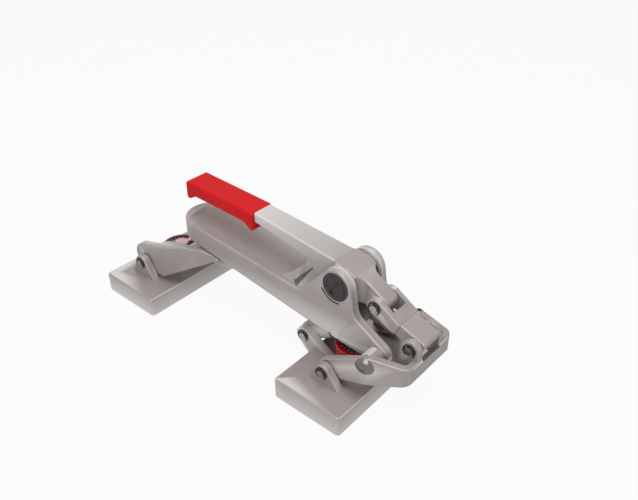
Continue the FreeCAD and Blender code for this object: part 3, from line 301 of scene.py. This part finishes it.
def floor_finish():
    """White paper that stays white to the camera and keeps the soft shadow."""
    paper = Finish("pale_floor", Roughness=0.9, Base_Color=(0.55, 0.55, 0.55, 1))
    path = paper.add("ShaderNodeLightPath").outputs
    seen = paper.add("ShaderNodeMath", {0: path["Is Camera Ray"], 1: path["Is Glossy Ray"]},
                     operation="MAXIMUM").outputs[0]
    share = paper.add("ShaderNodeMath", {0: seen, 1: 0.94}, operation="MULTIPLY").outputs[0]
    glow = paper.add("ShaderNodeEmission", {"Color": (1, 1, 1, 1), "Strength": 1.0}).outputs[0]
    blend = paper.add("ShaderNodeMixShader", {
        0: share, 1: paper.shader.outputs["BSDF"], 2: glow}).outputs[0]
    paper.links.new(blend, paper.nodes["Material Output"].inputs["Surface"])
    return paper.material


# ---------------------------------------------------------------- shapes
def finished(mesh, name, body, material, sharp=35):
    """Turns a bmesh into a smooth-shaded piece that rides on a body."""
    data = bpy.data.meshes.new(name)
    mesh.to_mesh(data)
    mesh.free()
    for face in data.polygons:
        face.use_smooth = True
    data.set_sharp_from_angle(angle=math.radians(sharp))
    data.materials.append(material)
    piece = bpy.data.objects.new(name, data)
    bpy.context.scene.collection.objects.link(piece)
    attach(piece, body)
    return piece


def ring(name, centre, radius, thickness, turn, body, material, slot):
    """Thin wire ring or open ring about a line along Y; the turn is (start, sweep) in degrees."""
    start, sweep = (math.radians(angle) for angle in turn)
    closed = turn[1] == 360
    mesh = bmesh.new()
    bmesh.ops.create_circle(mesh, cap_ends=not closed, segments=WIRE_SIDES, radius=thickness,
                            matrix=Matrix.Translation((radius, 0, 0)))
    bmesh.ops.spin(mesh, geom=mesh.verts[:] + mesh.edges[:] + mesh.faces[:], cent=(0, 0, 0),
                   axis=(0, 1, 0), angle=sweep, steps=SPIN_STEPS, use_merge=closed)
    bmesh.ops.recalc_face_normals(mesh, faces=mesh.faces)
    place = Matrix.Translation(centre) @ Matrix.Rotation(start, 4, "Y")
    bmesh.ops.transform(mesh, matrix=place, verts=mesh.verts)
    return finished(mesh, name, body, material)


def smooth_copy(node, body, material):
    """Stand-in for a cast CAD node whose flat faces shade flat beside their rounded edges."""
    mesh = bmesh.new()
    mesh.from_mesh(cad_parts[node].data)
    bmesh.ops.remove_doubles(mesh, verts=mesh.verts, dist=WELD)
    bmesh.ops.dissolve_limit(mesh, angle_limit=FLAT, verts=mesh.verts, edges=mesh.edges)
    piece = finished(mesh, "smooth_" + node, body, material)
    normals = piece.modifiers.new("Weighted normals", "WEIGHTED_NORMAL")
    normals.keep_sharp = True
    normals.weight = 100
    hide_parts(node)
    return piece


def paint(nodes, material):
    """Gives CAD nodes a finish."""
    for node in nodes:
        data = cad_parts[node].data
        data.materials.clear()
        data.materials.append(material)


# ---------------------------------------------------------------- pieces
class DressCastings(bpy.types.Operator):
    """Satin metal on the beam, bracket, lever, link, yoke, tie bar and feet"""

    bl_idname = "stretcher.castings"
    bl_label = "Castings"

    def execute(self, context):
        settings = context.scene.stretcher_casting
        metal = cast_finish("cast_satin_metal", tuple(settings.colour), tuple(settings.edge_highlight),
                            settings.grain)
        for node, body, slot in CASTINGS:
            smooth_copy(node, body, metal)
        paint(["tie_top_pin"], metal)
        return {"FINISHED"}


class DressSoles(bpy.types.Operator):
    """Zinc plated soles and polished needles"""

    bl_idname = "stretcher.soles"
    bl_label = "Soles and needles"

    def execute(self, context):
        sole = steel_finish("zinc_sole_steel", (0.42, 0.42, 0.43), 0.4)
        needle = steel_finish("polished_needle_steel", (0.7, 0.7, 0.7), 0.2)
        for side in FEET:
            paint([side + "_sole_plate", side + "_needle_plate", side + "_guide_posts"], sole)
            paint([side + "_needles"], needle)
        return {"FINISHED"}


class DressGrip(bpy.types.Operator):
    """Red moulded grip"""

    bl_idname = "stretcher.grip"
    bl_label = "Grip"

    def execute(self, context):
        red = grip_finish(tuple(context.scene.stretcher_grip.colour))
        smooth_copy("handle_grip", "handle", red)
        return {"FINISHED"}


class DressPivots(bpy.types.Operator):
    """Bright pins, domes darkened as a painted reflection, black clips and the dark slotted hub screw
    """

    bl_idname = "stretcher.pivots"
    bl_label = "Pins, clips and screws"

    def execute(self, context):
        bright = steel_finish("bright_pin_steel", (0.4, 0.37, 0.36), 0.22)
        clip = dark_finish("black_clip_steel", (0.03, 0.03, 0.03), 0.4)
        screw = dark_finish("blackened_screw_steel", (0.035, 0.032, 0.032), 0.45)
        bronze = steel_finish("bush_bronze", (0.5, 0.35, 0.16), 0.4)
        paint(["crank_pin", "yoke_pins", "tie_foot_pin", "front_foot_pins", "rear_foot_pins",
               "stop_screw", "bracket_screws", "hub_washers",
               "front_sole_screws", "rear_sole_screws", "front_dial_stud", "rear_dial_stud"], bright)
        paint(["crank_pin_clips", "yoke_pin_clips", "tie_foot_pin_clips",
               "front_foot_pin_clips", "rear_foot_pin_clips"], clip)
        paint(["hub_screw", "hub_nut"], screw)
        paint(["hub_bush"], bronze)
        # Painted reflection: the domes' steel colour is darkened to stand for the dark surroundings
        # they mirror.
        paint(["nose_rivets"], steel_finish("dome_steel_painted_reflection", (0.2, 0.175, 0.17), 0.14))
        self.add_marks(clip, screw)
        return {"FINISHED"}

    def add_marks(self, clip, screw):
        """Dark arcs round the lower side of the tie bar's upper pin, a short dark arc below the hub,
        and the ring turned in the hub screw.
        """
        low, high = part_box("main_beam")
        pin = middle("tie_top_pin")
        hub = middle("hub_screw")
        # Thin dark arcs round the lower side of the tie bar's upper pin, on both cheeks.
        for side, face in (("near", low[1]), ("far", high[1])):
            spot = Vector((pin.x, face, pin.z))
            ring(side + "_tie_pin_arc", spot, *TIE_PIN_ARC, "body", clip, "clip_steel")
        spot = Vector((hub.x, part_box("hub_screw")[0][1], hub.z))
        ring("hub_screw_ring", spot, *SCREW_RING, "body", screw, "dark_screw")
        # A short dark arc below the hub, toward the rear, on the near cheek.
        spot = Vector((hub.x, low[1], hub.z))
        ring("hub_dark_arc", spot, *HUB_ARC, "body", clip, "clip_steel")


class DressDials(bpy.types.Operator):
    """Coloured rims, dark scales with light ticks, and the two knobs"""

    bl_idname = "stretcher.dials"
    bl_label = "Needle depth dials"

    def execute(self, context):
        settings = context.scene.stretcher_dial
        scale = plastic_finish("dark_dial_scale", (0.03, 0.022, 0.024), 0.5)
        light = plastic_finish("light_dial_marks", (0.78, 0.72, 0.7), 0.5)
        # One rim colour in two copies: painted light on the front rim, painted shade on the rear rim.
        paint(["front_dial_rim"], plastic_finish("front_dial_red_painted_light", tuple(settings.front_rim), 0.2))
        paint(["rear_dial_rim"], plastic_finish("rear_dial_red_painted_shade", tuple(settings.rear_rim), 0.35))
        paint(["front_dial_scale", "rear_dial_scale"], scale)
        # Painted shade: the front knob is the same part as the pale rear knob, painted near black for
        # the shadow it sits in.
        paint(["front_dial_knob"], plastic_finish("front_knob_painted_shade", (0.012, 0.012, 0.012), 0.2))
        paint(["rear_dial_knob"], plastic_finish("rear_pale_knob", (0.85, 0.55, 0.55), 0.4))
        for side in FEET:
            self.add_ticks(side, settings.ticks, light)
        return {"FINISHED"}

    def add_ticks(self, side, count, material):
        """Short raised marks round the scale, every third one longer."""
        centre = middle(side + "_dial_scale")
        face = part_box(side + "_dial_scale")[1][2]
        outer = width(side + "_dial_scale", 0) / 2 - 0.4 * MM
        mesh = bmesh.new()
        for index in range(count):
            length = LONG_TICK if index % 3 == 0 else SHORT_TICK
            place = (Matrix.Translation((centre.x, centre.y, face + TICK_LIFT))
                     @ Matrix.Rotation(math.tau * index / count, 4, "Z")
                     @ Matrix.Translation((outer - length / 2, 0, 0))
                     @ Matrix.Diagonal((length, TICK_WIDTH, TICK_HEIGHT, 1)))
            bmesh.ops.create_cube(mesh, size=1, matrix=place)
        finished(mesh, side + "_dial_ticks", side + "_base", material)


class SetStage(bpy.types.Operator):
    """Pale floor, soft lamps and the camera"""

    bl_idname = "stretcher.stage"
    bl_label = "Stage"

    def execute(self, context):
        settings = context.scene.stretcher_stage
        scene = context.scene
        mesh = bmesh.new()
        bmesh.ops.create_grid(mesh, x_segments=1, y_segments=1, size=FLOOR_HALF)
        data = bpy.data.meshes.new("floor")
        mesh.to_mesh(data)
        mesh.free()
        floor = bpy.data.objects.new("floor", data)
        floor.location.z = CAD_BOX[0][2] - FLOOR_DROP
        scene.collection.objects.link(floor)
        data.materials.append(floor_finish())

        self.add_lamp("main_lamp", (0.42, -0.85, 0.5), 0.6, settings.lamp_power)
        self.add_lamp("high_lamp", (0.25, -0.1, 1.0), 0.7, settings.lamp_power * 1.8)
        self.light_world(scene)

        camera = bpy.data.cameras.new("camera")
        camera.lens = settings.lens
        camera.sensor_width = SENSOR_WIDTH
        camera.clip_start = 0.01
        viewer = bpy.data.objects.new("camera", camera)
        viewer.location = CAMERA_PLACE
        viewer.rotation_euler = (math.pi / 2 - settings.tilt, 0, settings.bearing)
        scene.collection.objects.link(viewer)
        scene.camera = viewer
        scene.view_settings.view_transform = "Standard"
        return {"FINISHED"}

    def add_lamp(self, name, place, size, power):
        lamp = bpy.data.lights.new(name, "AREA")
        lamp.size = size
        lamp.energy = power
        stand = bpy.data.objects.new(name, lamp)
        stand.location = place
        aim = Vector(LAMP_AIM) - Vector(place)
        stand.rotation_euler = aim.to_track_quat("-Z", "Y").to_euler()
        bpy.context.scene.collection.objects.link(stand)

    def light_world(self, scene):
        """Soft grey light, shown white to the camera and in reflections."""
        world = bpy.data.worlds.new("soft_world")
        world.use_nodes = True
        scene.world = world
        nodes, links = world.node_tree.nodes, world.node_tree.links
        path = nodes.new("ShaderNodeLightPath")
        seen = nodes.new("ShaderNodeMath")
        seen.operation = "MAXIMUM"
        links.new(path.outputs["Is Camera Ray"], seen.inputs[0])
        links.new(path.outputs["Is Glossy Ray"], seen.inputs[1])
        soft, white, blend = (nodes["Background"], nodes.new("ShaderNodeBackground"),
                              nodes.new("ShaderNodeMixShader"))
        soft.inputs["Color"].default_value = (1, 1, 1, 1)
        soft.inputs["Strength"].default_value = WORLD_STRENGTH
        white.inputs["Color"].default_value = (1, 1, 1, 1)
        links.new(seen.outputs[0], blend.inputs[0])
        links.new(soft.outputs[0], blend.inputs[1])
        links.new(white.outputs[0], blend.inputs[2])
        links.new(blend.outputs[0], nodes["World Output"].inputs["Surface"])


OPERATORS = (DressCastings, DressSoles, DressGrip, DressPivots, DressDials, SetStage)


class StretcherPanel(bpy.types.Panel):
    """Shows the settings and the dressing buttons in the 3D view's sidebar"""

    bl_idname = "VIEW3D_PT_seam_stretcher"
    bl_label = "Seam stretcher"
    bl_space_type = "VIEW_3D"
    bl_region_type = "UI"
    bl_category = "Seam stretcher"

    def draw(self, context):
        for name in SETTINGS:
            settings = getattr(context.scene, name)
            for key in settings.__annotations__:
                self.layout.prop(settings, key)
        for operator in OPERATORS:
            self.layout.operator(operator.bl_idname)


def register():
    for group in SETTINGS.values():
        bpy.utils.register_class(group)
    for name, group in SETTINGS.items():
        setattr(bpy.types.Scene, name, bpy.props.PointerProperty(type=group))
    for item in (*OPERATORS, StretcherPanel):
        bpy.utils.register_class(item)


def unregister():
    for item in (StretcherPanel, *reversed(OPERATORS)):
        bpy.utils.unregister_class(item)
    for name, group in SETTINGS.items():
        delattr(bpy.types.Scene, name)
        bpy.utils.unregister_class(group)


def main():
    register()
    bpy.ops.stretcher.castings()
    bpy.ops.stretcher.soles()
    bpy.ops.stretcher.grip()
    bpy.ops.stretcher.pivots()
    bpy.ops.stretcher.dials()
    bpy.ops.stretcher.stage()


if __name__ == "__main__":
    main()
